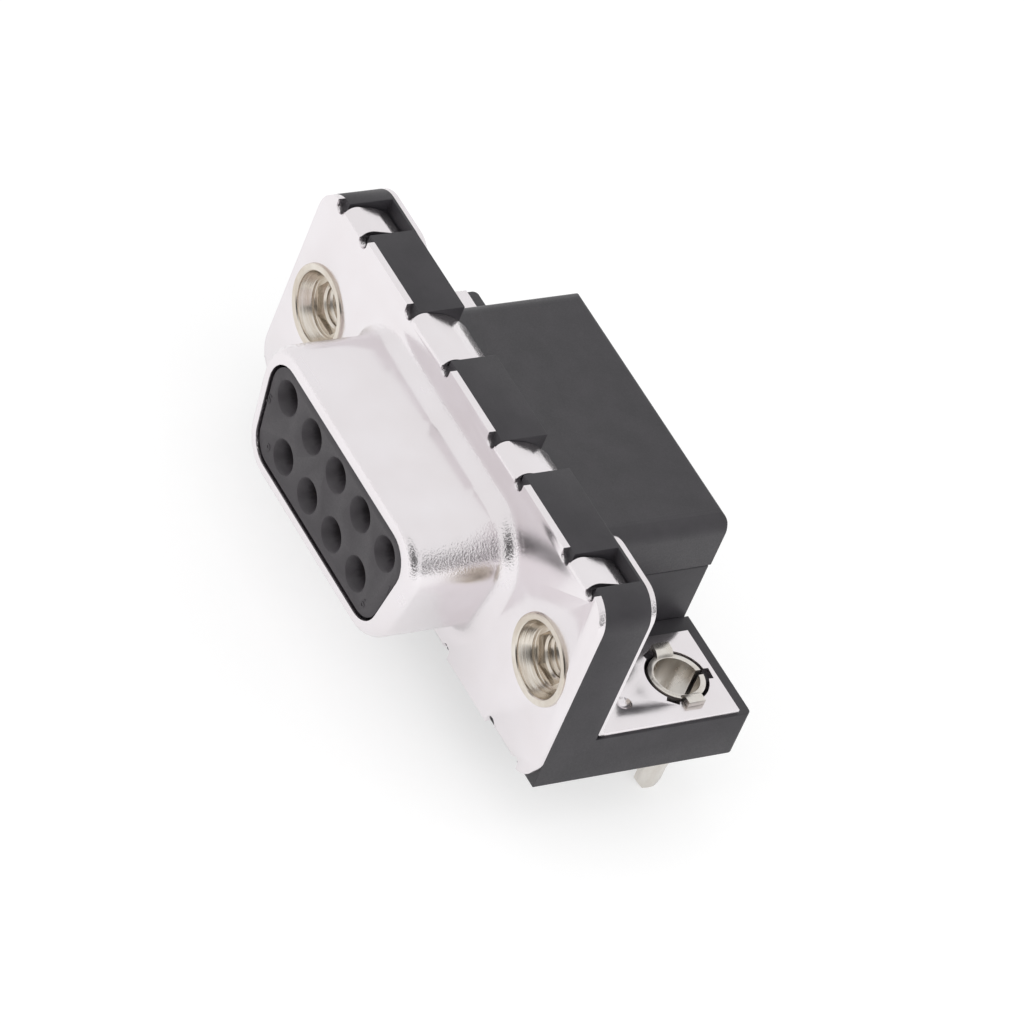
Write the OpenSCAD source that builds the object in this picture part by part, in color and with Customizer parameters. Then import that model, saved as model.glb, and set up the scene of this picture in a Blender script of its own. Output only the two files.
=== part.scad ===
// Nine-way right-angle board connector with a D-shaped socket shell.
// X runs along the flange, Y from the mating side to the rear, Z up from the board.
// The origin is the centre of the D on the front face of the flange.

/* [Shell] */
// Width of the flange on each side of the nose
flange_side = 7.24; // [7.15:0.01:7.6]
// Height of the flange
flange_h = 12.55; // [12.5:0.01:13]
// Radius of the flange corners
flange_corner_r = 1.65; // [1:0.05:1.8]
// Thickness of the drawn steel sheet
sheet_t = 0.4; // [0.3:0.05:0.45]
// From the middle of an end contact to the outside of the nose
nose_side = 2.685; // [2.64:0.005:2.8]
// Outside height of the nose
nose_h = 7.9; // [7.8:0.01:8.2]
// How far the nose stands out from the flange
nose_len = 5.97; // [5.6:0.01:6.6]
// Outside radius of the nose corners
nose_corner_r = 2.5; // [2.3:0.05:2.8]
// Lean of the sides of the D
nose_lean = 10; // [9:0.5:11]
// Outside radius of the bend between nose and flange
root_r = 0.95; // [0.6:0.05:1.1]
// Outside radius of the bend between nose and lip
lip_r = 0.7; // [0.5:0.05:0.85]
// How far the lip turns in from the outside of the nose
lip_reach = 0.92; // [0.86:0.01:1]

/* [Tabs] */
// Width of the tabs above and below the jackscrews
outer_tab_w = 1.8; // [1.4:0.05:2.4]
// Width of the wide middle tab
left_tab_w = 3.35; // [2.6:0.05:4]
// Place of the wide middle tab, left of the centre
left_tab_x = 3.95; // [3.6:0.05:4.4]
// Width of the narrow middle tab
right_tab_w = 2.25; // [1.8:0.05:3]
// Place of the narrow middle tab, right of the centre
right_tab_x = 4.65; // [4.2:0.05:4.9]
// Width of the relief notch on each side of a tab
notch_w = 0.75; // [0.5:0.05:0.8]
// Inside radius of the bend at the root of a tab
tab_bend_r = 0.2; // [0.15:0.05:0.25]
// Depth of the tab roots below the flange edge
tab_root_depth = 0.65; // [0.6:0.05:0.8]
// How far the middle tabs reach past the rear of the flange block
tab_overhang = 0.45; // [0.2:0.05:0.6]
// Thickness of the housing left behind the outer tabs
tab_stop = 0.15; // [0.1:0.05:0.3]
// Room on each side of an outer tab in the housing
outer_tab_room = 0.25; // [0.1:0.05:0.3]

/* [Housing] */
// Thickness of the moulded block behind the flange
block_t = 2.7; // [2.5:0.05:3]
// Gap between the lower edge of the flange and the board
board_gap = 0.075; // [0.06:0.005:0.5]
// Height of the mounting feet
foot_h = 2.9; // [2.6:0.05:3.1]
// How far the feet reach behind the hood
foot_step = 0.1; // [0:0.05:1]
// How far the hood over the contact tails stands out past the nose, on each side
hood_side = 0.385; // [0.3:0.005:0.8]
// Height of the hood top above the D centre
hood_top = 3.6; // [3.3:0.05:4]
// Thickness of the hood walls
hood_wall = 1.28; // [0.9:0.02:1.4]
// Radius along the top edges of the hood
hood_edge_r = 1; // [0.6:0.05:1.2]
// Height of the seam between hood and tail spacer, above the D centre
seam_z = 0.35; // [0:0.05:0.6]
// Thickness of the tail spacer's floor
spacer_floor = 2.2; // [1.6:0.05:2.4]
// Gap left between the tail spacer and the board
spacer_lift = 0.3; // [0.2:0.05:0.5]

/* [Contacts] */
// Distance between neighbouring contacts in a row
pitch = 2.74; // [2.7:0.01:2.78]
// Distance between the two rows, at the face and at the board
row_gap = 2.84; // [2.8:0.01:2.88]
// How far the insulator face lies behind the lip of the nose
face_recess = 0.13; // [0.05:0.01:0.3]
// Open joint between the lip and the insulator face
face_gap = 0.15; // [0.1:0.01:0.2]
// Thickness of the insulator in front of the contacts
face_t = 1.1; // [1:0.05:1.3]
// Thickness of the insulator's collar behind the flange
collar_t = 1.2; // [1:0.05:1.4]
// How far the collar stands out past the nose wall
collar_w = 0.5; // [0.3:0.05:0.6]
// Radius of the contact entry holes
entry_r = 0.6; // [0.55:0.01:0.64]
// Radius of the countersinks at the insulator face
sink_r = 0.96; // [0.85:0.01:1.1]
// Depth of the countersinks
sink_depth = 0.6; // [0.4:0.05:0.7]
// Outside radius of a socket
socket_r = 0.85; // [0.8:0.01:0.9]
// Radius of the bore of a socket
socket_bore_r = 0.53; // [0.5:0.01:0.56]
// Width of a contact tail
tail_w = 0.6; // [0.5:0.05:0.65]
// Thickness of a contact tail
tail_t = 0.3; // [0.25:0.05:0.35]
// Bend radius of a contact tail, at its middle line
tail_bend_r = 0.8; // [0.6:0.05:1]
// Distance from the flange front to the front row of tails
tail_row = 8.08; // [7.9:0.01:8.3]
// Length of the tails below the board face
tail_len = 3.2; // [2.5:0.1:4]

/* [Jackscrew inserts] */
// Distance from the axis of an insert to the end of the flange
jack_inset = 2.91; // [2.85:0.01:2.95]
// Outside radius of the insert barrel
jack_r = 2.25; // [2.2:0.01:2.28]
// Width of the swaged rims beyond the barrel
jack_rim = 0.13; // [0.1:0.01:0.2]
// Height of the front rim above the flange
jack_rim_t = 0.1; // [0.06:0.01:0.15]
// Radius of the mouth
jack_mouth_r = 2; // [1.9:0.01:2.05]
// Radius at the bottom of the mouth
jack_throat_r = 1.62; // [1.55:0.01:1.7]
// Depth of the mouth
jack_mouth_depth = 0.8; // [0.6:0.05:1]
// Radius over the corners of the driving hexagon
jack_hex_r = 1.52; // [1.4:0.01:1.54]
// Depth of the driving hexagon
jack_hex_depth = 0.35; // [0.2:0.05:0.5]
// Radius of the threaded hole
jack_thread_r = 1.13; // [1.05:0.01:1.2]
// Height of the rim that clinches the insert behind the bracket
jack_tail = 0.35; // [0.25:0.05:0.45]

/* [Brackets] */
// Width of the brackets
bracket_w = 5.6; // [5.4:0.01:5.7]
// Thickness of the brackets
bracket_t = 0.3; // [0.25:0.05:0.4]
// Outside bend radius of the brackets
bracket_bend_r = 0.6; // [0.5:0.05:0.75]
// Radius of the top corners of the brackets
bracket_corner_r = 1.5; // [1:0.05:1.7]
// Distance from the rear end of a bracket to the rear of the foot
bracket_setback = 0.8; // [0.5:0.05:1]
// Radius of the dimple in a bracket
dimple_r = 0.5; // [0.4:0.05:0.6]

/* [Board locks] */
// Outside radius of the lock collar
lock_r = 1.55; // [1.5:0.01:1.6]
// Thickness of the lock sheet
lock_t = 0.3; // [0.25:0.01:0.34]
// Height of the collar below the bracket
lock_collar_h = 2.8; // [2:0.1:2.9]
// Width of the ears that lie on the bracket
ear_w = 1; // [0.8:0.05:1.3]
// Reach of the ears from the lock's axis
ear_reach = 2.05; // [2.02:0.01:2.4]
// Width of the legs
leg_w = 1.5; // [1.2:0.05:1.6]
// Length of the legs below the board face
leg_len = 3.5; // [3:0.1:4]
// Lean of the sprung part of the legs
leg_lean = 8; // [6:1:9]

/* [Clearances] */
// Gap between pieces that fit together
fit_gap = 0.05; // [0.03:0.01:0.06]
// Gap round the contacts and the insulator
slide_gap = 0.1; // [0.08:0.01:0.12]
// Open joint between hood and tail spacer
seam_gap = 0.1; // [0.05:0.01:0.15]

/* [Hidden] */
$fn = 48;

plastic_colour = [0.29, 0.28, 0.3];
face_colour = [0.34, 0.33, 0.35];
tin_colour = [0.88, 0.87, 0.88];
nickel_colour = [0.8, 0.78, 0.76];
lock_colour = [0.78, 0.77, 0.75];
contact_colour = [0.83, 0.68, 0.36];

// A little more than the material, so that a cut passes right through
over = 1;
bend_steps = 6;
corner_steps = 8;

// Places along Y
block_rear = sheet_t + block_t;
pocket_floor = sheet_t + collar_t;
bracket_rear = block_rear + bracket_t;
face_y = face_recess - nose_len;
cavity_front = face_y + face_t;
back_row = tail_row + row_gap;
lock_y = tail_row + row_gap / 2;
hood_rear = back_row + tail_t / 2 + slide_gap + hood_wall;
foot_rear = hood_rear + foot_step;
bracket_end = foot_rear - bracket_setback;

// Places along Z
board_z = -flange_h / 2 - board_gap;
foot_top = board_z + foot_h;
bracket_top = foot_top + bracket_t;
spacer_bottom = board_z + spacer_lift;
spacer_top = seam_z - seam_gap;
tab_root = flange_h / 2 - tab_root_depth;

// Contacts 1 to 5 are on the wide side, counted from the right, then 6 to 9 below
top_count = 5;
contact_count = 9;

// Places along X
nose_w = (top_count - 1) * pitch + 2 * nose_side;
flange_w = nose_w + 2 * flange_side;
hood_w = nose_w + 2 * hood_side;
jack_x = flange_w / 2 - jack_inset;
foot_inner = hood_w / 2;
lock_hole_r = lock_r + lock_t / 2 + fit_gap;

// The D is four corner circles joined by straight runs. The wide side is on top.
corner_z = nose_h / 2 - nose_corner_r;
top_corner_x = nose_w / 2 - nose_corner_r;
bottom_corner_x = top_corner_x - 2 * corner_z * tan(nose_lean);
d_corners = [[top_corner_x, corner_z], [-top_corner_x, corner_z],
             [-bottom_corner_x, -corner_z], [bottom_corner_x, -corner_z]];
d_starts = [-nose_lean, 90, 180 + nose_lean, 270];
d_sweeps = [90 + nose_lean, 90 + nose_lean, 90 - nose_lean, 90 - nose_lean];

// Each tab is [centre, width, reach along Y, room on each side]
inner_reach = block_rear + tab_overhang;
outer_reach = block_rear - tab_stop - fit_gap;
tabs = [[-jack_x, outer_tab_w, outer_reach, outer_tab_room],
        [-left_tab_x, left_tab_w, inner_reach, fit_gap],
        [right_tab_x, right_tab_w, inner_reach, fit_gap],
        [jack_x, outer_tab_w, outer_reach, outer_tab_room]];

function contact_row(n) = n <= top_count ? 1 : -1;
function contact_x(n) = n <= top_count
    ? (top_count + 1 - 2 * n) / 2 * pitch
    : (contact_count + top_count + 1 - 2 * n) / 2 * pitch;
function contact_z(n) = contact_row(n) * row_gap / 2;

// Middle line of a bent strip. Each leg is [straight run, turn, bend radius],
// and each point of the line is [place, heading].
function ahead(p, a, run) = p + run * [cos(a), sin(a)];
function turned(p, a, turn, r) =
    let (side = turn > 0 ? 1 : -1, c = p + r * side * [-sin(a), cos(a)])
    [for (k = [0 : bend_steps])
        let (h = a + turn * k / bend_steps) [c + r * side * [sin(h), -cos(h)], h]];
function leg_points(p, a, leg) =
    let (q = ahead(p, a, leg[0]))
    leg[1] == 0 ? [[q, a]] : turned(q, a, leg[1], leg[2]);
function later_points(legs, p, a, i) =
    i == len(legs) ? [] :
    let (points = leg_points(p, a, legs[i]), last = points[len(points) - 1])
    concat(points, later_points(legs, last[0], last[1], i + 1));
function strip_line(legs, p, a) = concat([[p, a]], later_points(legs, p, a, 0));
function beside(line, d) = [for (s = line) s[0] + d * [-sin(s[1]), cos(s[1])]];
function backwards(v) = [for (i = [len(v) - 1 : -1 : 0]) v[i]];

// A strip of sheet with its middle line in the plane of the drawing
module strip(line, t) {
    polygon(concat(beside(line, t / 2), backwards(beside(line, -t / 2))));
}

// The middle line of a tab: up from its root, over the edge and down to its reach
tab_slopes = [[0.05, -90, tab_bend_r + sheet_t / 2], [0, -14, 1], [0.95, -12, 1], [0.5, -12, 1]];
tab_start = [sheet_t / 2, tab_root];
tab_bends = strip_line(tab_slopes, tab_start, 90);
tab_last = tab_bends[len(tab_bends) - 1];
function tab_run(reach) =
    (reach - tab_last[0][0] + sheet_t / 2 * sin(tab_last[1])) / cos(tab_last[1]);
function tab_line(reach) = strip_line(concat(tab_slopes, [[tab_run(reach), 0, 0]]), tab_start, 90);

// Drawn on the mating face: x stays X, y becomes Z, and height stands out to the front
module facing() {
    rotate([90, 0, 0]) children();
}

// A profile of Y and Z carried along X
module along_x(x, w) {
    translate([x - w / 2, 0, 0]) rotate([90, 0, 90]) linear_extrude(w) children();
}

module rounded_rect(w, h, r) {
    square([w - 2 * r, h], center = true);
    square([w, h - 2 * r], center = true);
    for (sx = [-1, 1], sy = [-1, 1]) {
        translate([sx * (w / 2 - r), sy * (h / 2 - r)]) circle(r);
    }
}

// The D as a filled outline at a radius r round its corner centres
module d_fill(r) {
    polygon([for (k = [0 : 3], a = [d_starts[k], d_starts[k] + d_sweeps[k]])
        d_corners[k] + r * [cos(a), sin(a)]]);
    for (c = d_corners) {
        translate(c) circle(r);
    }
}

// The D as points at a radius r round its corner centres, on a fine grid,
// so that pieces that meet there share their corners exactly
grid = 0.0001;
function snapped(p) = [for (v = p) round(v / grid) * grid];
function d_ring(r) = [for (k = [0 : 3], i = [0 : corner_steps])
    let (a = d_starts[k] + d_sweeps[k] * i / corner_steps)
    snapped(d_corners[k] + r * [cos(a), sin(a)])];

// A closed section carried round the D. Its points are [radius, height].
module d_loft(section) {
    n = 4 * (corner_steps + 1);
    m = len(section);
    polyhedron(
        points = [for (p = section, q = d_ring(p[0])) [q[0], q[1], p[1]]],
        faces = [for (i = [0 : m - 1], j = [0 : n - 1])
            let (a = i * n, b = (i + 1) % m * n, k = (j + 1) % n) [a + j, b + j, b + k, a + k]]);
}

function arc(c, r, from, turn) = [for (k = [0 : bend_steps])
    let (a = from + turn * k / bend_steps) c + r * [cos(a), sin(a)]];

// Lip, wall and root bend of the drawn nose, in one thickness of sheet
nose_root = [nose_corner_r + root_r, root_r];
nose_bend = [nose_corner_r - lip_r, nose_len - lip_r];
opening_r = nose_corner_r - lip_reach;
nose_section = concat(
    arc(nose_bend, lip_r, 0, 90),
    [[opening_r, nose_len], [opening_r, nose_len - sheet_t]],
    arc(nose_bend, lip_r - sheet_t, 90, -90),
    arc(nose_root, root_r + sheet_t, 180, 90),
    arc(nose_root, root_r, 270, -90));

// Room for a tab and its two relief notches in the edge of the flange
module tab_window(x, w) {
    slot = notch_w / 2;
    translate([x - w / 2, tab_root]) square([w, tab_root_depth + over]);
    for (side = [-1, 1]) {
        translate([x + side * (w / 2 + slot), tab_root + slot]) {
            circle(slot);
            translate([-slot, 0]) square([notch_w, tab_root_depth + over]);
        }
    }
}

module front_shell() {
    color(tin_colour) {
        facing() {
            d_loft(nose_section);
            translate([0, 0, -sheet_t]) linear_extrude(sheet_t) difference() {
                rounded_rect(flange_w, flange_h, flange_corner_r);
                polygon(d_ring(nose_corner_r + root_r));
                for (side = [-1, 1]) {
                    translate([side * jack_x, 0]) circle(jack_r + fit_gap / 2);
                }
                for (t = tabs, up = [0, 1]) {
                    mirror([0, up]) tab_window(t[0], t[1]);
                }
            }
        }
        for (t = tabs, up = [0, 1]) {
            mirror([0, 0, up]) along_x(t[0], t[1]) strip(tab_line(t[2]), sheet_t);
        }
    }
}

// Plug of the insulator inside the nose, with its face in the lip and its collar behind the flange
module front_insulator() {
    plug_r = nose_corner_r - sheet_t - slide_gap;
    color(face_colour) facing() difference() {
        translate([0, 0, -pocket_floor]) {
            linear_extrude(pocket_floor + nose_bend[1]) d_fill(plug_r);
            linear_extrude(pocket_floor - face_y) d_fill(opening_r - face_gap);
            linear_extrude(collar_t) d_fill(nose_corner_r + collar_w);
        }
        for (n = [1 : contact_count]) {
            translate([contact_x(n), contact_z(n), 0]) contact_cavity();
        }
    }
}

module contact_cavity() {
    translate([0, 0, -pocket_floor - over])
        cylinder(r = socket_r + slide_gap, h = pocket_floor + over - cavity_front);
    translate([0, 0, -face_y - face_t - over]) cylinder(r = entry_r, h = face_t + 2 * over);
    translate([0, 0, -face_y - sink_depth]) cylinder(r1 = entry_r, r2 = sink_r, h = sink_depth);
}

// The space over a tab, down to a fit gap below its underside and back to a fit gap past its end
module tab_recess(w, reach, room) {
    line = beside(tab_line(inner_reach + over), -sheet_t / 2 - fit_gap);
    far = line[len(line) - 1];
    top = flange_h / 2 + over;
    along_x(0, w + 2 * room) intersection() {
        polygon(concat([[-over, line[0][1]]], line, [[far[0], top], [-over, top]]));
        translate([-over, 0]) square([over + reach + fit_gap, top]);
    }
}

module foot(side) {
    corner = 0.3;
    w = flange_w / 2 - foot_inner;
    run = foot_rear - sheet_t;
    mirror([side > 0 ? 0 : 1, 0, 0]) translate([foot_inner, sheet_t, board_z]) difference() {
        linear_extrude(foot_h) {
            square([w - corner, run]);
            square([w, run - corner]);
            translate([w - corner, run - corner]) circle(corner);
        }
        translate([jack_x - foot_inner, lock_y - sheet_t, -over])
            cylinder(r = lock_hole_r, h = foot_h + 2 * over);
    }
}

// Hood over the contact tails, open below and rounded along its top edges
module hood() {
    half = hood_w / 2;
    h = hood_top - seam_z;
    rear_r = 0.4;
    difference() {
        intersection() {
            translate([0, hood_rear, 0]) facing() linear_extrude(hood_rear - block_rear) {
                translate([-half, seam_z]) square([hood_w, h - hood_edge_r]);
                translate([-half + hood_edge_r, seam_z]) square([hood_w - 2 * hood_edge_r, h]);
                for (side = [-1, 1]) {
                    translate([side * (half - hood_edge_r), hood_top - hood_edge_r]) circle(hood_edge_r);
                }
            }
            along_x(0, hood_w + 2 * over) {
                translate([0, seam_z]) square([hood_rear - rear_r, h]);
                translate([0, seam_z]) square([hood_rear, h - rear_r]);
                translate([hood_rear - rear_r, hood_top - rear_r]) circle(rear_r);
            }
        }
        translate([-half + hood_wall, 0, seam_z - over])
            cube([hood_w - 2 * hood_wall, hood_rear - hood_wall, h - hood_wall + over]);
    }
}

module housing() {
    color(plastic_colour) {
        difference() {
            union() {
                translate([0, block_rear, 0]) facing() linear_extrude(block_t)
                    rounded_rect(flange_w, flange_h, flange_corner_r);
                for (side = [-1, 1]) {
                    foot(side);
                }
            }
            translate([0, pocket_floor, 0]) facing() linear_extrude(collar_t + over)
                d_fill(nose_corner_r + collar_w + fit_gap);
            for (side = [-1, 1]) {
                translate([side * jack_x, block_rear + over, 0]) facing()
                    cylinder(r = jack_r + fit_gap, h = block_t + 2 * over);
            }
            for (n = [1 : contact_count]) {
                translate([contact_x(n), block_rear + over, contact_z(n)]) facing()
                    cylinder(r = tail_w / 2 + slide_gap + fit_gap, h = block_t + over);
            }
            for (t = tabs, up = [0, 1]) {
                mirror([0, 0, up]) translate([t[0], 0, 0]) tab_recess(t[1], t[2], t[3]);
            }
        }
        hood();
    }
}

// Tray that holds the tails in line, with slots for the rear row open to the back
module tail_spacer() {
    half = hood_w / 2 - fit_gap;
    front = inner_reach + fit_gap;
    rear = hood_rear - fit_gap;
    slot_w = tail_w + 2 * slide_gap;
    hole_l = tail_t + 4 * slide_gap;
    h = spacer_top - spacer_bottom;
    color(plastic_colour) difference() {
        translate([-half, front, spacer_bottom]) cube([2 * half, rear - front, h]);
        translate([-half + hood_wall, front - over, spacer_bottom + spacer_floor])
            cube([2 * (half - hood_wall), rear - front + over - hood_wall, h]);
        for (n = [1 : top_count]) {
            translate([contact_x(n) - slot_w / 2, back_row - hole_l / 2, spacer_bottom - over])
                cube([slot_w, rear - back_row + over, h + 2 * over]);
        }
        for (n = [top_count + 1 : contact_count]) {
            translate([contact_x(n) - slot_w / 2, tail_row - hole_l / 2, spacer_bottom - over])
                cube([slot_w, hole_l, spacer_floor + 2 * over]);
        }
    }
}

// Angle bracket: up the back of the block, round the bend and along the foot
module bracket(side) {
    middle_r = bracket_bend_r - bracket_t / 2;
    start = [block_rear + bracket_t / 2, flange_h / 2];
    drop = start[1] - foot_top - bracket_bend_r;
    reach = bracket_end - block_rear - bracket_bend_r;
    line = strip_line([[drop, 90, middle_r], [reach, 0, 0]], start, -90);
    notch = 0.7;
    notch_reach = lock_hole_r + 0.25;
    dimple_y = (bracket_rear + lock_y - lock_r) / 2;
    color(tin_colour) mirror([side > 0 ? 0 : 1, 0, 0]) difference() {
        intersection() {
            along_x(jack_x, bracket_w) strip(line, bracket_t);
            translate([jack_x, bracket_end + over, -flange_h / 2]) facing()
                linear_extrude(bracket_end + over) rounded_rect(bracket_w, 2 * flange_h, bracket_corner_r);
        }
        translate([jack_x, bracket_rear + over, 0]) facing()
            cylinder(r = jack_r + fit_gap / 2, h = bracket_t + 2 * over);
        translate([jack_x, lock_y, foot_top - over]) {
            cylinder(r = lock_hole_r, h = bracket_t + 2 * over);
            for (a = [85, 205, 325]) {
                rotate([0, 0, a]) translate([0, -notch / 2, 0])
                    cube([notch_reach, notch, bracket_t + 2 * over]);
            }
        }
        translate([jack_x + bracket_w / 5, dimple_y, bracket_top + dimple_r / 2]) sphere(dimple_r);
    }
}

// Clinched insert: rim on the flange, stepped mouth, threaded hole and rear rim
module insert(side) {
    rear = -bracket_rear - jack_tail;
    rim_r = jack_r + jack_rim;
    hex_floor = -jack_mouth_depth - jack_hex_depth;
    color(nickel_colour) translate([side * jack_x, 0, 0]) facing() difference() {
        rotate_extrude() polygon([
            [jack_thread_r, rear], [jack_r - jack_rim, rear], [rim_r, rear + jack_tail / 2],
            [rim_r, -bracket_rear], [jack_r, -bracket_rear],
            [jack_r, 0], [rim_r, 0], [rim_r, jack_rim_t / 2],
            [rim_r - jack_rim_t / 2, jack_rim_t], [jack_mouth_r, jack_rim_t],
            [jack_throat_r, -jack_mouth_depth], [jack_thread_r, -jack_mouth_depth]]);
        translate([0, 0, hex_floor]) cylinder(r = jack_hex_r, h = jack_hex_depth + over, $fn = 6);
    }
}

// Board lock: rolled collar, two ears on the bracket and two sprung legs
module board_lock(side) {
    middle = lock_r - lock_t / 2;
    ear_bend_r = lock_t;
    ear_line = strip_line([[lock_t, -90, ear_bend_r], [ear_reach - middle - ear_bend_r, 0, 0]],
        [middle, bracket_top - ear_bend_r - lock_t / 2], 90);
    leg_top = bracket_top - lock_collar_h + lock_t;
    below = leg_top - board_z;
    leg_bend_r = 0.6;
    third = (leg_len - 4 * leg_bend_r * sin(leg_lean)) / 3;
    spring = third / cos(leg_lean);
    leg_line = strip_line([[below, leg_lean, leg_bend_r], [spring, -2 * leg_lean, leg_bend_r],
        [spring, leg_lean, leg_bend_r], [third, 0, 0]], [middle, leg_top], -90);
    leg_tip = board_z - leg_len;
    tip_cut = leg_w / 4;
    slit = 0.3;
    color(lock_colour) mirror([side > 0 ? 0 : 1, 0, 0]) translate([jack_x, lock_y, 0]) {
        difference() {
            translate([0, 0, bracket_top - lock_collar_h]) cylinder(r = lock_r, h = lock_collar_h);
            translate([0, 0, bracket_top - lock_collar_h - over])
                cylinder(r = lock_r - lock_t, h = lock_collar_h + 2 * over);
            translate([-slit / 2, 0, bracket_top - lock_collar_h - over])
                cube([slit, 2 * lock_r, lock_collar_h + 2 * over]);
        }
        for (turn = [0, 180]) {
            rotate([0, 0, turn]) translate([0, ear_w / 2, 0]) rotate([90, 0, 0]) linear_extrude(ear_w)
                strip(ear_line, lock_t);
        }
        intersection() {
            rotate_extrude() strip(leg_line, lock_t);
            along_x(0, 4 * lock_r) polygon([[-leg_w / 2, leg_top], [-leg_w / 2, leg_tip + tip_cut],
                [-leg_w / 2 + tip_cut, leg_tip], [leg_w / 2 - tip_cut, leg_tip],
                [leg_w / 2, leg_tip + tip_cut], [leg_w / 2, leg_top]]);
        }
    }
}

// Socket in the insulator, and a tail that runs back and bends down to the board
module contact(n) {
    row = contact_z(n);
    drop_y = contact_row(n) > 0 ? back_row : tail_row;
    socket_front = cavity_front + slide_gap;
    bore_depth = 4;
    tail_start = pocket_floor - 2 * tail_t;
    back = drop_y - tail_bend_r - tail_start;
    down = row - tail_bend_r - board_z + tail_len;
    line = strip_line([[back, -90, tail_bend_r], [down, 0, 0]], [tail_start, row], 0);
    color(contact_colour) {
        translate([contact_x(n), 0, row]) facing() difference() {
            translate([0, 0, -pocket_floor]) cylinder(r = socket_r, h = pocket_floor - socket_front);
            translate([0, 0, -socket_front - bore_depth])
                cylinder(r = socket_bore_r, h = bore_depth + over);
            translate([-tail_t / 2, -over, -socket_front - bore_depth / 2])
                cube([tail_t, 2 * over, bore_depth + over]);
        }
        along_x(contact_x(n), tail_w) strip(line, tail_t);
    }
}

front_shell();
front_insulator();
housing();
tail_spacer();
bracket(-1);  // bracket_left
bracket(1);  // bracket_right
insert(-1);  // insert_left
insert(1);  // insert_right
board_lock(-1);  // board_lock_left
board_lock(1);  // board_lock_right
for (n = [1 : contact_count]) contact(n);
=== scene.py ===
import math

import bpy
from mathutils import Matrix, Vector


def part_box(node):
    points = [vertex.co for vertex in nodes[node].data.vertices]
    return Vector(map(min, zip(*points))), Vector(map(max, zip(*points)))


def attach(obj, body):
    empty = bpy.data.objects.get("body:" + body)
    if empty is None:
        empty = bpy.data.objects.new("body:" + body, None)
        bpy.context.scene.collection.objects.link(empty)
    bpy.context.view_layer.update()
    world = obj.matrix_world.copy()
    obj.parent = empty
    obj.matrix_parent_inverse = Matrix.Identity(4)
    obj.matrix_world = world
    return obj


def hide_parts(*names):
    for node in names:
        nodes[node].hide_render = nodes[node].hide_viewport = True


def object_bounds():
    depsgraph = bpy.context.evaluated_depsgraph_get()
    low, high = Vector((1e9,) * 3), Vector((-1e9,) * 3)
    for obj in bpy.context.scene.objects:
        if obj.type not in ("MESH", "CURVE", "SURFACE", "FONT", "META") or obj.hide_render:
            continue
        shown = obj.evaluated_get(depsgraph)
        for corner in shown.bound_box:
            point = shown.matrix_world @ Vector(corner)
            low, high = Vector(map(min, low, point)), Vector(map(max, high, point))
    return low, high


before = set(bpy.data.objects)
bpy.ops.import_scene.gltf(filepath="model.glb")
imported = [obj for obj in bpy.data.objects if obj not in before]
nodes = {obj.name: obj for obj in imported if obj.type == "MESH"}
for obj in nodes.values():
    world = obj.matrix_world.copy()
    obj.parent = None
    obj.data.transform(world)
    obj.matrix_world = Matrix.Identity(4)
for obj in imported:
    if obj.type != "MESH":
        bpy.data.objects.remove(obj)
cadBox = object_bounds()
mm = 0.001
print("frame loaded:", len(nodes), "nodes")


# small helpers for node trees
# noise lies mostly between these values, which are stretched to a full range
wideSpan = (0.3, 0.7)
narrowSpan = (0.35, 0.65)


def addNode(tree, kind, **values):
    node = tree.nodes.new(kind)
    for name, value in values.items():
        setattr(node, name, value)
    return node


def newMaterial(name):
    material = bpy.data.materials.new(name)
    material.use_nodes = True
    tree = material.node_tree
    return material, tree, tree.nodes["Principled BSDF"]


def objectPoint(tree, scale=(1, 1, 1)):
    point = addNode(tree, "ShaderNodeTexCoord").outputs["Object"]
    mapping = addNode(tree, "ShaderNodeMapping")
    mapping.inputs["Scale"].default_value = scale
    tree.links.new(point, mapping.inputs["Vector"])
    return mapping.outputs["Vector"]


def noiseAt(tree, perMetre, detail=2.0, roughness=0.5, scale=(1, 1, 1)):
    noise = addNode(tree, "ShaderNodeTexNoise")
    noise.inputs["Scale"].default_value = perMetre
    noise.inputs["Detail"].default_value = detail
    noise.inputs["Roughness"].default_value = roughness
    tree.links.new(objectPoint(tree, scale), noise.inputs["Vector"])
    return noise.outputs["Fac"]


def rangeOf(tree, value, low, high, toLow, toHigh):
    node = addNode(tree, "ShaderNodeMapRange")
    for name, number in (("From Min", low), ("From Max", high),
                         ("To Min", toLow), ("To Max", toHigh)):
        node.inputs[name].default_value = number
    tree.links.new(value, node.inputs["Value"])
    return node.outputs["Result"]


def maths(tree, operation, a, b):
    node = addNode(tree, "ShaderNodeMath", operation=operation)
    for socket, value in zip(node.inputs, (a, b)):
        if isinstance(value, (int, float)):
            socket.default_value = value
        else:
            tree.links.new(value, socket)
    return node.outputs["Value"]


def blendColours(tree, factor, first, second):
    node = addNode(tree, "ShaderNodeMix", data_type="RGBA")
    tree.links.new(factor, node.inputs["Factor"])
    for name, colour in (("A", first), ("B", second)):
        socket = [s for s in node.inputs if s.name == name and s.type == "RGBA"][0]
        socket.default_value = (*colour, 1)
    return [s for s in node.outputs if s.type == "RGBA"][0]


def bumpFrom(tree, shader, height, depth, strength=1.0, under=None):
    bump = addNode(tree, "ShaderNodeBump")
    bump.inputs["Distance"].default_value = depth
    if isinstance(strength, (int, float)):
        bump.inputs["Strength"].default_value = strength
    else:
        tree.links.new(strength, bump.inputs["Strength"])
    tree.links.new(height, bump.inputs["Height"])
    if under is not None:
        tree.links.new(under, bump.inputs["Normal"])
    tree.links.new(bump.outputs["Normal"], shader.inputs["Normal"])
    return bump.outputs["Normal"]


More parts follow.
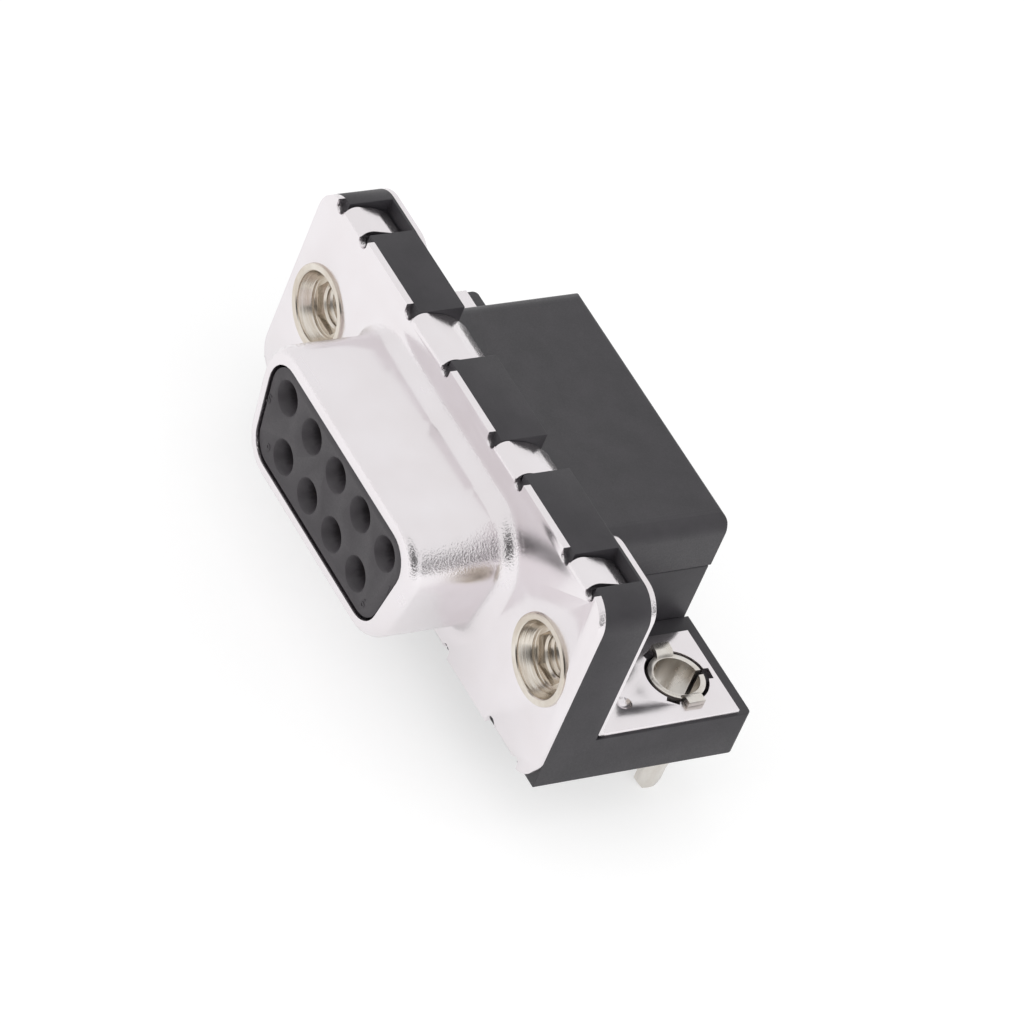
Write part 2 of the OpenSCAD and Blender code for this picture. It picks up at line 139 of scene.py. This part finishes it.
def bentness(tree, flat, bent):
    # 0 where the sheet lies square to an axis, 1 where it turns
    split = addNode(tree, "ShaderNodeSeparateXYZ")
    tree.links.new(addNode(tree, "ShaderNodeNewGeometry").outputs["Normal"], split.inputs[0])
    sizes = [maths(tree, "ABSOLUTE", split.outputs[axis], 0) for axis in "XYZ"]
    largest = maths(tree, "MAXIMUM", maths(tree, "MAXIMUM", sizes[0], sizes[1]), sizes[2])
    return rangeOf(tree, largest, flat, bent, 0, 1)


# finishes
tinLook = {
    "colour": (0.84, 0.805, 0.825),
    "darker": (0.8, 0.76, 0.775),
    "cloud": 350,             # slow change of tone, per metre
    "roughness": (0.14, 0.24),
    "bendRoughness": 0.05,    # added where the sheet turns
    "flatGrain": 5200,        # fine texture of the rolled sheet
    "flatDepth": 0.0012 * mm,
    "bendGrain": 8200,        # coarser skin where the sheet was drawn
    "bendDepth": 0.03 * mm,
    "bendRange": (0.985, 0.86),
}


def tinPlate(name="tinPlate", look=tinLook):
    material, tree, shader = newMaterial(name)
    shader.inputs["Metallic"].default_value = 1.0
    cloud = noiseAt(tree, look["cloud"], detail=3)
    tone = rangeOf(tree, cloud, *wideSpan, 0, 1)
    tree.links.new(blendColours(tree, tone, look["darker"], look["colour"]),
                   shader.inputs["Base Color"])
    bend = bentness(tree, *look["bendRange"])
    skin = noiseAt(tree, look["bendGrain"], detail=1.5, roughness=0.6)
    rough = maths(tree, "ADD", rangeOf(tree, cloud, *wideSpan, *look["roughness"]),
                  maths(tree, "MULTIPLY", bend, look["bendRoughness"]))
    tree.links.new(rough, shader.inputs["Roughness"])
    under = bumpFrom(tree, shader, noiseAt(tree, look["flatGrain"]), look["flatDepth"])
    bumpFrom(tree, shader, skin, look["bendDepth"], bend, under)
    return material


metalLook = {
    "nickel": {"colour": (0.78, 0.735, 0.67), "darker": (0.6, 0.53, 0.45),
               "roughness": (0.16, 0.27),
               "grain": 2600, "stretch": (0.35, 7, 0.35), "depth": 0.006 * mm},
    "lock": {"colour": (0.76, 0.73, 0.69), "darker": (0.66, 0.62, 0.57),
             "roughness": (0.24, 0.36),
             "grain": 3800, "stretch": (1, 1, 0.4), "depth": 0.004 * mm},
    "gold": {"colour": (0.85, 0.64, 0.3), "darker": (0.7, 0.5, 0.22),
             "roughness": (0.2, 0.3),
             "grain": 4000, "stretch": (1, 0.4, 1), "depth": 0.002 * mm},
}
toneShare = 0.4    # the tone changes more slowly than the grain


def turnedMetal(name, look):
    material, tree, shader = newMaterial(name)
    shader.inputs["Metallic"].default_value = 1.0
    cloud = noiseAt(tree, look["grain"] * toneShare, 4, 0.65, look["stretch"])
    tone = rangeOf(tree, cloud, *narrowSpan, 0, 1)
    tree.links.new(blendColours(tree, tone, look["darker"], look["colour"]),
                   shader.inputs["Base Color"])
    tree.links.new(rangeOf(tree, cloud, *wideSpan, *look["roughness"]),
                   shader.inputs["Roughness"])
    grain = noiseAt(tree, look["grain"], scale=look["stretch"])
    bumpFrom(tree, shader, grain, look["depth"])
    return material


plasticLook = {
    "colour": (0.026, 0.024, 0.028),
    "paler": (0.034, 0.031, 0.036),
    "cloud": 600,              # slow change of tone, per metre
    "roughness": (0.44, 0.58),
    "grain": 14000,
    "grainDepth": 0.003 * mm,
    "wave": 420,               # slow unevenness of a moulded face
    "waveDepth": 0.01 * mm,
}


def blackPlastic(name="blackPlastic", look=plasticLook):
    material, tree, shader = newMaterial(name)
    cloud = noiseAt(tree, look["cloud"], detail=4, roughness=0.6)
    tone = rangeOf(tree, cloud, *narrowSpan, 0, 1)
    tree.links.new(blendColours(tree, tone, look["colour"], look["paler"]),
                   shader.inputs["Base Color"])
    grain = noiseAt(tree, look["grain"], detail=3, roughness=0.6)
    tree.links.new(rangeOf(tree, grain, *wideSpan, *look["roughness"]),
                   shader.inputs["Roughness"])
    under = bumpFrom(tree, shader, noiseAt(tree, look["wave"]), look["waveDepth"])
    bumpFrom(tree, shader, grain, look["grainDepth"], under=under)
    return material


insulatorLook = {
    **plasticLook,
    "colour": (0.042, 0.037, 0.042),
    "paler": (0.052, 0.046, 0.052),
}

tin = tinPlate()
housingBlack = blackPlastic()
faceBlack = blackPlastic("insulatorBlack", insulatorLook)
nickel = turnedMetal("turnedNickel", metalLook["nickel"])
lockMetal = turnedMetal("lockMetal", metalLook["lock"])
gold = turnedMetal("contactGold", metalLook["gold"])

# the start of a node's name gives its finish
finishes = {"front_shell": tin, "front_insulator": faceBlack, "housing": housingBlack,
            "tail_spacer": housingBlack, "bracket": tin, "insert": nickel,
            "board_lock": lockMetal, "contact": gold}


def finishFor(name):
    return next(m for key, m in finishes.items() if name.startswith(key))


for name, node in nodes.items():
    node.data.materials.clear()
    node.data.materials.append(finishFor(name))
print("finishes on the CAD nodes")


# moulded and stamped pieces: each is its solid with softened edges
# edge is the width of the softening, smooth the angle in degrees that still shades as one
softened = {
    "front_shell": {"piece": "drawnShell", "slot": "tin_plate",
                    "edge": 0.05 * mm, "smooth": 32},
    "front_insulator": {"piece": "insulator", "slot": "insulator_plastic",
                        "edge": 0.04 * mm, "smooth": 30},
    "housing": {"piece": "mouldedHousing", "slot": "housing_plastic",
                "edge": 0.08 * mm, "smooth": 30},
    "tail_spacer": {"piece": "tailTray", "slot": "housing_plastic",
                    "edge": 0.06 * mm, "smooth": 30},
    "bracket_left": {"piece": "leftBracket", "slot": "bracket_plate",
                     "edge": 0.05 * mm, "smooth": 32},
    "bracket_right": {"piece": "rightBracket", "slot": "bracket_plate",
                      "edge": 0.05 * mm, "smooth": 32},
    "board_lock_left": {"piece": "leftLock", "slot": "lock_metal",
                        "edge": 0.05 * mm, "smooth": 32},
    "board_lock_right": {"piece": "rightLock", "slot": "lock_metal",
                         "edge": 0.05 * mm, "smooth": 32},
}
softening = {
    "mergeWithin": 0.0004 * mm,
    "flatWithin": 0.6,    # degrees, joins the triangles of a flat face
    "sharpOver": 40,      # degrees, an edge over this is softened
    "segments": 2,
}


def onlyPick(thing):
    bpy.ops.object.select_all(action="DESELECT")
    thing.select_set(True)
    bpy.context.view_layer.objects.active = thing


def applyModifier(thing, name, kind, **values):
    onlyPick(thing)
    modifier = thing.modifiers.new(name, kind)
    for key, value in values.items():
        setattr(modifier, key, value)
    bpy.ops.object.modifier_apply(modifier=name)


def softenedCopy(nodeName, look):
    onlyPick(nodes[nodeName])
    bpy.ops.object.duplicate()
    piece = bpy.context.object
    piece.name = look["piece"]
    for key in [k for k in piece.keys() if k.startswith("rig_")]:
        del piece[key]    # the copy isn't the CAD node
    bpy.ops.object.mode_set(mode="EDIT")
    bpy.ops.mesh.select_all(action="SELECT")
    bpy.ops.mesh.remove_doubles(threshold=softening["mergeWithin"])
    bpy.ops.mesh.dissolve_limited(angle_limit=math.radians(softening["flatWithin"]))
    bpy.ops.mesh.normals_make_consistent(inside=False)
    bpy.ops.object.mode_set(mode="OBJECT")
    applyModifier(piece, "softEdges", "BEVEL", width=look["edge"],
                  segments=softening["segments"], limit_method="ANGLE",
                  angle_limit=math.radians(softening["sharpOver"]), use_clamp_overlap=True)
    bpy.ops.object.shade_smooth_by_angle(angle=math.radians(look["smooth"]))
    piece.data.materials.clear()
    piece.data.materials.append(finishFor(nodeName))
    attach(piece, "root")
    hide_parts(nodeName)


for nodeName, look in softened.items():
    softenedCopy(nodeName, look)
print("housing, insulator, shell, brackets and locks softened")


# threaded inserts
insertLook = {
    "sides": 72,
    "rim": 0.13 * mm,             # how far both rims stand out from the barrel
    "rimLand": 0.1 * mm,          # flat ring at the rear, inside the barrel's radius
    # rear rim: inside the full radius, ahead of the rear end
    "clinch": ((0.05 * mm, 0.12 * mm), (0, 0.2 * mm), (0, 0.33 * mm)),
    "clinchEnd": 0.345 * mm,
    # front rim: inside the full radius, share of its height
    "frontRim": ((0, 0.6), (0.03 * mm, 0.95), (0.09 * mm, 1)),
    "frontRimRoot": 0.02 * mm,
    "mouthRadius": 2.0 * mm,
    "throatRadius": 1.62 * mm,
    "mouthDepth": 0.8 * mm,
    # edge of the mouth: outside the mouth's radius, behind the front
    "mouthEdge": ((0.1 * mm, 0), (0.03 * mm, 0.03 * mm)),
    "mouthStart": 0.05 * mm,
    "flare": 1.25,                # over 1, the mouth narrows late
    "turningMarks": 9,
    "markHeights": (-0.008 * mm, 0.012 * mm),
    "ledge": 0.027 * mm,
    "ledgeDrop": 0.03 * mm,
    "hexRadius": 1.5 * mm,
    "hexTaper": 0.02 * mm,
    "hexDepth": 0.35 * mm,
    "hexReach": 0.03 * mm,        # points this near the hexagon's radius belong to it
    "hexSides": 6,
    "threadRadius": 1.13 * mm,
    "threadDepth": 0.13 * mm,
    "threadLead": (0.12 * mm, 0.1 * mm),
    "threadFrom": 0.2 * mm,       # behind the hexagon's floor
    "threadTo": 0.3 * mm,         # ahead of the rear end
    "crest": 0.01 * mm,
    "pitch": 0.3175 * mm,
    "groove": (0.14 * mm, 0.28 * mm),    # bottom and far side of a groove
    # way out at the rear: outside the thread's radius, ahead of the rear end
    "threadExit": ((0.02 * mm, 0.05 * mm), (0.06 * mm, 0)),
    "smooth": 28,
}


def ringOut(profile, sides, x):
    # one circle is carried along radius and depth by extruding and resizing its edge
    radius, y = profile[0]
    bpy.ops.mesh.primitive_circle_add(vertices=sides, radius=radius, location=(x, y, 0),
                                      rotation=(math.radians(90), 0, 0))
    ring = bpy.context.object
    onlyPick(ring)
    bpy.ops.object.mode_set(mode="EDIT")
    bpy.ops.mesh.select_all(action="SELECT")
    for nextRadius, nextY in profile[1:]:
        bpy.ops.mesh.extrude_edges_move()
        if abs(nextY - y) > 0:
            bpy.ops.transform.translate(value=(0, nextY - y, 0))
        if abs(nextRadius - radius) > 0:
            size = nextRadius / radius
            bpy.ops.transform.resize(value=(size, 1, size), center_override=(x, nextY, 0))
        radius, y = nextRadius, nextY
    bpy.ops.object.mode_set(mode="OBJECT")
    return ring


def outerProfile(rim, front, rear, look):
    # from the rear end, over both rims, to the edge of the mouth
    barrel = rim - look["rim"]
    profile = [(barrel - look["rimLand"], rear)]
    profile += [(rim - inset, rear - ahead) for inset, ahead in look["clinch"]]
    profile += [(barrel, rear - look["clinchEnd"]), (barrel, look["frontRimRoot"]), (rim, 0)]
    profile += [(rim - inset, front * share) for inset, share in look["frontRim"]]
    profile += [(look["mouthRadius"] + out, front + behind)
                for out, behind in look["mouthEdge"]]
    return profile


def innerProfile(rim, front, rear, look):
    # down the mouth, past the hexagon and the thread, and back to the rear end
    mouth, throat, depth = look["mouthRadius"], look["throatRadius"], look["mouthDepth"]
    start, marks = look["mouthStart"], look["turningMarks"]
    hexRadius, thread = look["hexRadius"], look["threadRadius"]
    profile = []
    for i in range(marks):
        t = (i + 0.5) / marks
        profile.append((mouth + (throat - mouth) * t ** look["flare"] + look["markHeights"][i % 2],
                        front + start + (depth - start) * t))
    hexFloor = depth + look["hexDepth"]
    leadOut, leadDepth = look["threadLead"]
    profile += [(throat, depth), (throat - look["ledge"], depth + look["ledgeDrop"]),
                (hexRadius, depth + look["ledgeDrop"]),
                (hexRadius - look["hexTaper"], hexFloor),
                (thread + leadOut, hexFloor), (thread, hexFloor + leadDepth)]
    grooveBottom, grooveEnd = look["groove"]
    y = hexFloor + look["threadFrom"]
    while y < rear - look["threadTo"]:
        profile += [(thread - look["crest"], y), (thread + look["threadDepth"], y + grooveBottom),
                    (thread - look["crest"], y + grooveEnd)]
        y += look["pitch"]
    profile += [(thread + out, rear - ahead) for out, ahead in look["threadExit"]]
    profile.append((rim - look["rim"] - look["rimLand"], rear))
    return profile


def drawInHexagon(piece, x, look):
    # the hexagon starts as round rings, whose points are drawn in to six flats
    side = 2 * math.pi / look["hexSides"]
    for vertex in piece.data.vertices:
        dx, dz = vertex.co.x - x, vertex.co.z
        offRadius = abs(math.hypot(dx, dz) - look["hexRadius"])
        if offRadius < look["hexReach"] and vertex.co.y > look["mouthDepth"]:
            turn = math.atan2(dz, dx) % side - side / 2
            size = math.cos(side / 2) / math.cos(turn)
            vertex.co.x, vertex.co.z = x + dx * size, dz * size


def makeInsert(nodeName, look=insertLook):
    low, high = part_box(nodeName)
    x = (low[0] + high[0]) / 2
    rim = (high[0] - low[0]) / 2
    ends = rim, low[1], high[1]
    piece = ringOut(outerProfile(*ends, look) + innerProfile(*ends, look), look["sides"], x)
    piece.name = "leftInsert" if x < 0 else "rightInsert"
    bpy.ops.object.transform_apply(location=True, rotation=True, scale=True)
    drawInHexagon(piece, x, look)
    bpy.ops.object.mode_set(mode="EDIT")
    bpy.ops.mesh.select_all(action="SELECT")
    bpy.ops.mesh.remove_doubles(threshold=0.001 * mm)    # closes the profile's two ends
    bpy.ops.mesh.normals_make_consistent(inside=False)
    bpy.ops.object.mode_set(mode="OBJECT")
    bpy.ops.object.shade_smooth_by_angle(angle=math.radians(look["smooth"]))
    piece.data.materials.append(nickel)
    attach(piece, "root")
    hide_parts(nodeName)


for nodeName in ("insert_left", "insert_right"):
    makeInsert(nodeName)
print("inserts turned")


# contact numbers on the insulator
numberLook = {
    "size": 0.8 * mm,
    "height": 0.035 * mm,
    "sunk": 0.01 * mm,
    "curveSteps": 4,
    "places": {"1": (6.75 * mm, 0.1 * mm), "5": (-6.75 * mm, 0.1 * mm),
               "6": (5.45 * mm, -2.15 * mm), "9": (-5.45 * mm, -2.15 * mm)},
}


def makeNumbers(look=numberLook):
    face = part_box("front_insulator")[0][1]
    for figure, (x, z) in look["places"].items():
        bpy.ops.object.select_all(action="DESELECT")
        bpy.ops.object.text_add(location=(x, face + look["sunk"], z),
                                rotation=(math.radians(90), 0, 0))
        text = bpy.context.object
        text.data.body = figure
        text.data.size = look["size"]
        text.data.align_x, text.data.align_y = "CENTER", "CENTER"
        text.data.extrude = look["height"]
        text.data.resolution_u = look["curveSteps"]
        bpy.ops.object.convert(target="MESH")
        piece = bpy.context.object
        piece.name = "number" + figure
        onlyPick(piece)
        bpy.ops.object.transform_apply(location=True, rotation=True, scale=True)
        piece.data.materials.clear()
        piece.data.materials.append(faceBlack)
        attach(piece, "root")


makeNumbers()
print("numbers on the insulator")


# floor and room
stage = {
    "floorZ": cadBox[0][2],
    "floorGap": 0.02 * mm,
    "floorSize": 0.5,
    "floorColour": (0.5, 0.5, 0.5),
    "floorRoughness": 0.9,
    "floorGloss": 0.1,
    "floorGlow": 0.56,
    "roomLight": 0.95,
    # unlit sides of the studio: inner and outer are degrees from the middle of each
    "darkFront": {"towards": (0.62, -0.68, 0.32), "inner": 12, "outer": 36, "depth": 0.9},
    "darkRear": {"towards": (0.82, 0.53, 0.2), "inner": 8, "outer": 24, "depth": 0.7},
}


def directionMask(tree, direction, inner, outer):
    coords = addNode(tree, "ShaderNodeTexCoord")
    dot = addNode(tree, "ShaderNodeVectorMath", operation="DOT_PRODUCT")
    tree.links.new(coords.outputs["Generated"], dot.inputs[0])
    dot.inputs[1].default_value = Vector(direction).normalized()
    return rangeOf(tree, dot.outputs["Value"], math.cos(math.radians(outer)),
                   math.cos(math.radians(inner)), 0, 1)


def makeRoom():
    world = bpy.data.worlds.new("room")
    bpy.context.scene.world = world
    world.use_nodes = True
    tree = world.node_tree
    room = tree.nodes["Background"]
    room.inputs["Color"].default_value = (1, 1, 1, 1)
    shades = []
    for key in ("darkFront", "darkRear"):
        zone = stage[key]
        mask = directionMask(tree, zone["towards"], zone["inner"], zone["outer"])
        shades.append(maths(tree, "MULTIPLY", mask, zone["depth"]))
    lit = maths(tree, "SUBTRACT", 1.0, maths(tree, "MAXIMUM", *shades))
    tree.links.new(maths(tree, "MULTIPLY", lit, stage["roomLight"]), room.inputs["Strength"])
    seen = addNode(tree, "ShaderNodeBackground")    # plain white behind the part
    seen.inputs["Color"].default_value = (1, 1, 1, 1)
    path = addNode(tree, "ShaderNodeLightPath")
    white = maths(tree, "MAXIMUM", path.outputs["Is Camera Ray"],
                  path.outputs["Is Transmission Ray"])
    mix = addNode(tree, "ShaderNodeMixShader")
    tree.links.new(white, mix.inputs[0])
    tree.links.new(room.outputs[0], mix.inputs[1])
    tree.links.new(seen.outputs[0], mix.inputs[2])
    tree.links.new(mix.outputs[0], tree.nodes["World Output"].inputs["Surface"])


def makeFloor():
    bpy.ops.object.select_all(action="DESELECT")
    bpy.ops.mesh.primitive_plane_add(size=stage["floorSize"],
                                     location=(0, 0, stage["floorZ"] - stage["floorGap"]))
    floor = bpy.context.object
    floor.name = "floor"
    material, tree, shader = newMaterial("floorPaper")
    shader.inputs["Base Color"].default_value = (*stage["floorColour"], 1)
    shader.inputs["Roughness"].default_value = stage["floorRoughness"]
    shader.inputs["Specular IOR Level"].default_value = stage["floorGloss"]
    path = addNode(tree, "ShaderNodeLightPath")
    shown = maths(tree, "MAXIMUM", maths(tree, "MAXIMUM", path.outputs["Is Camera Ray"],
                                         path.outputs["Is Glossy Ray"]),
                  path.outputs["Is Transmission Ray"])
    shader.inputs["Emission Color"].default_value = (1, 1, 1, 1)
    tree.links.new(maths(tree, "MULTIPLY", shown, stage["floorGlow"]),
                   shader.inputs["Emission Strength"])
    floor.data.materials.append(material)


lamps = {
    "rightSide": {"at": (0.16, -0.02, 0.05), "size": 0.12, "watts": 0.1},
    "front": {"at": (-0.04, -0.17, 0.06), "size": 0.14, "watts": 0.06},
}


def makeLamps():
    for name, lamp in lamps.items():
        light = bpy.data.lights.new(name, "AREA")
        light.energy = lamp["watts"]
        light.size = lamp["size"]
        holder = bpy.data.objects.new(name, light)
        holder.location = lamp["at"]
        # a lamp shines down its own -Z, so this turns it to the part
        holder.rotation_euler = Vector(lamp["at"]).to_track_quat("Z", "Y").to_euler()
        holder.visible_glossy = False
        bpy.context.scene.collection.objects.link(holder)


view = {
    "place": (0.192506, -0.183306, 0.227731),
    "right": (0.45292, 0.83621, 0.30922),
    "up": (-0.70846, 0.12701, 0.69423),
    "back": (0.54125, -0.53350, 0.64995),
    "lens": 244.54,
    "sensor": 36,
    "clipStart": 0.01,
}


def makeCamera():
    camera = bpy.data.cameras.new("camera")
    camera.lens = view["lens"]
    camera.sensor_width = view["sensor"]
    camera.clip_start = view["clipStart"]
    holder = bpy.data.objects.new("camera", camera)
    turn = Matrix((view["right"], view["up"], view["back"])).transposed()
    holder.matrix_world = Matrix.Translation(view["place"]) @ turn.to_4x4()
    bpy.context.scene.collection.objects.link(holder)
    bpy.context.scene.camera = holder


makeRoom()
makeFloor()
makeLamps()
makeCamera()
bpy.context.scene.view_settings.view_transform = "Standard"
print("room, floor, lamps and camera ready")
